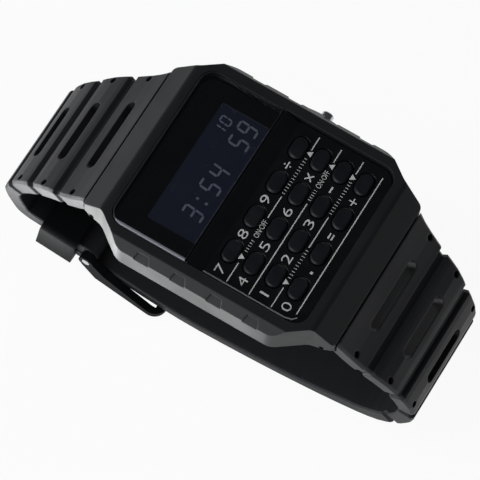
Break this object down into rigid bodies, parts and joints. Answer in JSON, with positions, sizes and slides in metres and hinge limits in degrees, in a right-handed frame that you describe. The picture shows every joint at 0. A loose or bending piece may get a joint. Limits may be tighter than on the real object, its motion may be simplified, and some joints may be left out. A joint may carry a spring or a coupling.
{
  "type": "calculator watch",
  "caption": "Rectangular black resin calculator watch, worn closed: raised display window over a small keypad, slotted and grooved strap, buckle and keeper.",
  "frame": {"origin": "middle of the case back's outer face", "axes": "+X to 3 o'clock, +Y to 12 o'clock, +Z out of the face"},
  "size_m": [0.0365, 0.0734, 0.0424],
  "materials": {
    "case_resin": "fine matte moulded resin",
    "strap_resin": "satin moulded flexible resin",
    "buckle_resin": "satin moulded resin",
    "window_glass": "polished window",
    "display_glass": "dark negative display",
    "panel_gloss": "glossy moulded panel",
    "key_gloss": "glossy moulded keys",
    "mat_rubber": "silicone rubber",
    "seal_rubber": "nitrile rubber",
    "board_laminate": "solder resist over glass laminate",
    "chip_epoxy": "epoxy",
    "module_plastic": "natural moulded plastic",
    "steel_bright": "plain stainless steel",
    "steel_back": "brushed stainless steel",
    "brass_disc": "brass with a ceramic layer"
  },
  "bodies": {
    "case": {"case_shell": "case_resin", "display_lens": "window_glass", "keypad_plate": "panel_gloss", "key_mat": "mat_rubber", "lcd_panel": "display_glass", "zebra_strips": "mat_rubber", "circuit_board": "board_laminate", "controller_chip": "chip_epoxy", "quartz_crystal": "steel_bright", "module_frame": "module_plastic", "battery": "steel_bright", "battery_clip": "steel_bright", "buzzer_disc": "brass_disc", "buzzer_spring": "steel_bright", "back_gasket": "seal_rubber", "case_back": "steel_back", "back_screws": "steel_bright", "button_spring": "steel_bright", "button_seal": "seal_rubber", "lug_bar_upper": "steel_bright", "lug_bar_lower": "steel_bright"},
    "key_7": {"key_7": "key_gloss"},
    "key_8": {"key_8": "key_gloss"},
    "key_9": {"key_9": "key_gloss"},
    "key_divide": {"key_divide": "key_gloss"},
    "key_4": {"key_4": "key_gloss"},
    "key_5": {"key_5": "key_gloss"},
    "key_6": {"key_6": "key_gloss"},
    "key_times": {"key_times": "key_gloss"},
    "key_1": {"key_1": "key_gloss"},
    "key_2": {"key_2": "key_gloss"},
    "key_3": {"key_3": "key_gloss"},
    "key_minus": {"key_minus": "key_gloss"},
    "key_0": {"key_0": "key_gloss"},
    "key_point": {"key_point": "key_gloss"},
    "key_equals": {"key_equals": "key_gloss"},
    "key_plus": {"key_plus": "key_gloss"},
    "mode_button": {"mode_button": "steel_bright", "button_clip": "steel_bright"},
    "strap_upper": {"strap_upper": "strap_resin", "buckle_bar": "steel_bright"},
    "strap_lower": {"strap_lower": "strap_resin"},
    "buckle_frame": {"buckle_frame": "buckle_resin"},
    "buckle_tongue": {"buckle_tongue": "steel_bright"},
    "keeper": {"keeper": "strap_resin"}
  },
  "joints": [
    {"name": "key_7_press", "type": "slide", "parent": "case", "child": "key_7", "axis": [0, 0, -1], "range_m": [0, 0.0004], "stiffness_N_per_m": 2500, "springref_m": -0.0002, "deforming": ["key_mat"]},
    {"name": "key_8_press", "type": "slide", "parent": "case", "child": "key_8", "axis": [0, 0, -1], "range_m": [0, 0.0004], "stiffness_N_per_m": 2500, "springref_m": -0.0002, "deforming": ["key_mat"]},
    {"name": "key_9_press", "type": "slide", "parent": "case", "child": "key_9", "axis": [0, 0, -1], "range_m": [0, 0.0004], "stiffness_N_per_m": 2500, "springref_m": -0.0002, "deforming": ["key_mat"]},
    {"name": "key_divide_press", "type": "slide", "parent": "case", "child": "key_divide", "axis": [0, 0, -1], "range_m": [0, 0.0004], "stiffness_N_per_m": 2500, "springref_m": -0.0002, "deforming": ["key_mat"]},
    {"name": "key_4_press", "type": "slide", "parent": "case", "child": "key_4", "axis": [0, 0, -1], "range_m": [0, 0.0004], "stiffness_N_per_m": 2500, "springref_m": -0.0002, "deforming": ["key_mat"]},
    {"name": "key_5_press", "type": "slide", "parent": "case", "child": "key_5", "axis": [0, 0, -1], "range_m": [0, 0.0004], "stiffness_N_per_m": 2500, "springref_m": -0.0002, "deforming": ["key_mat"]},
    {"name": "key_6_press", "type": "slide", "parent": "case", "child": "key_6", "axis": [0, 0, -1], "range_m": [0, 0.0004], "stiffness_N_per_m": 2500, "springref_m": -0.0002, "deforming": ["key_mat"]},
    {"name": "key_times_press", "type": "slide", "parent": "case", "child": "key_times", "axis": [0, 0, -1], "range_m": [0, 0.0004], "stiffness_N_per_m": 2500, "springref_m": -0.0002, "deforming": ["key_mat"]},
    {"name": "key_1_press", "type": "slide", "parent": "case", "child": "key_1", "axis": [0, 0, -1], "range_m": [0, 0.0004], "stiffness_N_per_m": 2500, "springref_m": -0.0002, "deforming": ["key_mat"]},
    {"name": "key_2_press", "type": "slide", "parent": "case", "child": "key_2", "axis": [0, 0, -1], "range_m": [0, 0.0004], "stiffness_N_per_m": 2500, "springref_m": -0.0002, "deforming": ["key_mat"]},
    {"name": "key_3_press", "type": "slide", "parent": "case", "child": "key_3", "axis": [0, 0, -1], "range_m": [0, 0.0004], "stiffness_N_per_m": 2500, "springref_m": -0.0002, "deforming": ["key_mat"]},
    {"name": "key_minus_press", "type": "slide", "parent": "case", "child": "key_minus", "axis": [0, 0, -1], "range_m": [0, 0.0004], "stiffness_N_per_m": 2500, "springref_m": -0.0002, "deforming": ["key_mat"]},
    {"name": "key_0_press", "type": "slide", "parent": "case", "child": "key_0", "axis": [0, 0, -1], "range_m": [0, 0.0004], "stiffness_N_per_m": 2500, "springref_m": -0.0002, "deforming": ["key_mat"]},
    {"name": "key_point_press", "type": "slide", "parent": "case", "child": "key_point", "axis": [0, 0, -1], "range_m": [0, 0.0004], "stiffness_N_per_m": 2500, "springref_m": -0.0002, "deforming": ["key_mat"]},
    {"name": "key_equals_press", "type": "slide", "parent": "case", "child": "key_equals", "axis": [0, 0, -1], "range_m": [0, 0.0004], "stiffness_N_per_m": 2500, "springref_m": -0.0002, "deforming": ["key_mat"]},
    {"name": "key_plus_press", "type": "slide", "parent": "case", "child": "key_plus", "axis": [0, 0, -1], "range_m": [0, 0.0004], "stiffness_N_per_m": 2500, "springref_m": -0.0002, "deforming": ["key_mat"]},
    {"name": "mode_press", "type": "slide", "parent": "case", "child": "mode_button", "axis": [-1, 0, 0], "range_m": [0, 0.0005], "stiffness_N_per_m": 1500, "springref_m": -0.0003, "deforming": ["button_spring"]},
    {"name": "strap_upper_swing", "type": "hinge", "parent": "case", "child": "strap_upper", "pos_m": [0, 0.0198, 0.0023], "axis": [-1, 0, 0], "range_deg": [0, 25], "deforming": ["strap_lower"]},
    {"name": "strap_lower_swing", "type": "hinge", "parent": "case", "child": "strap_lower", "pos_m": [0, -0.0198, 0.0023], "axis": [1, 0, 0], "range_deg": [0, 25], "deforming": ["strap_lower"]},
    {"name": "buckle_swing", "type": "hinge", "parent": "strap_upper", "child": "buckle_frame", "pos_m": [0, 0.0224, -0.0256], "axis": [1, 0, 0], "range_deg": [0, 35], "deforming": ["strap_lower"]},
    {"name": "tongue_swing", "type": "hinge", "parent": "buckle_frame", "child": "buckle_tongue", "pos_m": [0, 0.0224, -0.0256], "axis": [1, 0, 0], "range_deg": [0, 35], "deforming": ["strap_lower"]},
    {"name": "keeper_slide", "type": "slide", "parent": "strap_upper", "child": "keeper", "axis": [0, 0.9914, 0.1305], "range_m": [-0.0006, 0.0015]}
  ]
}
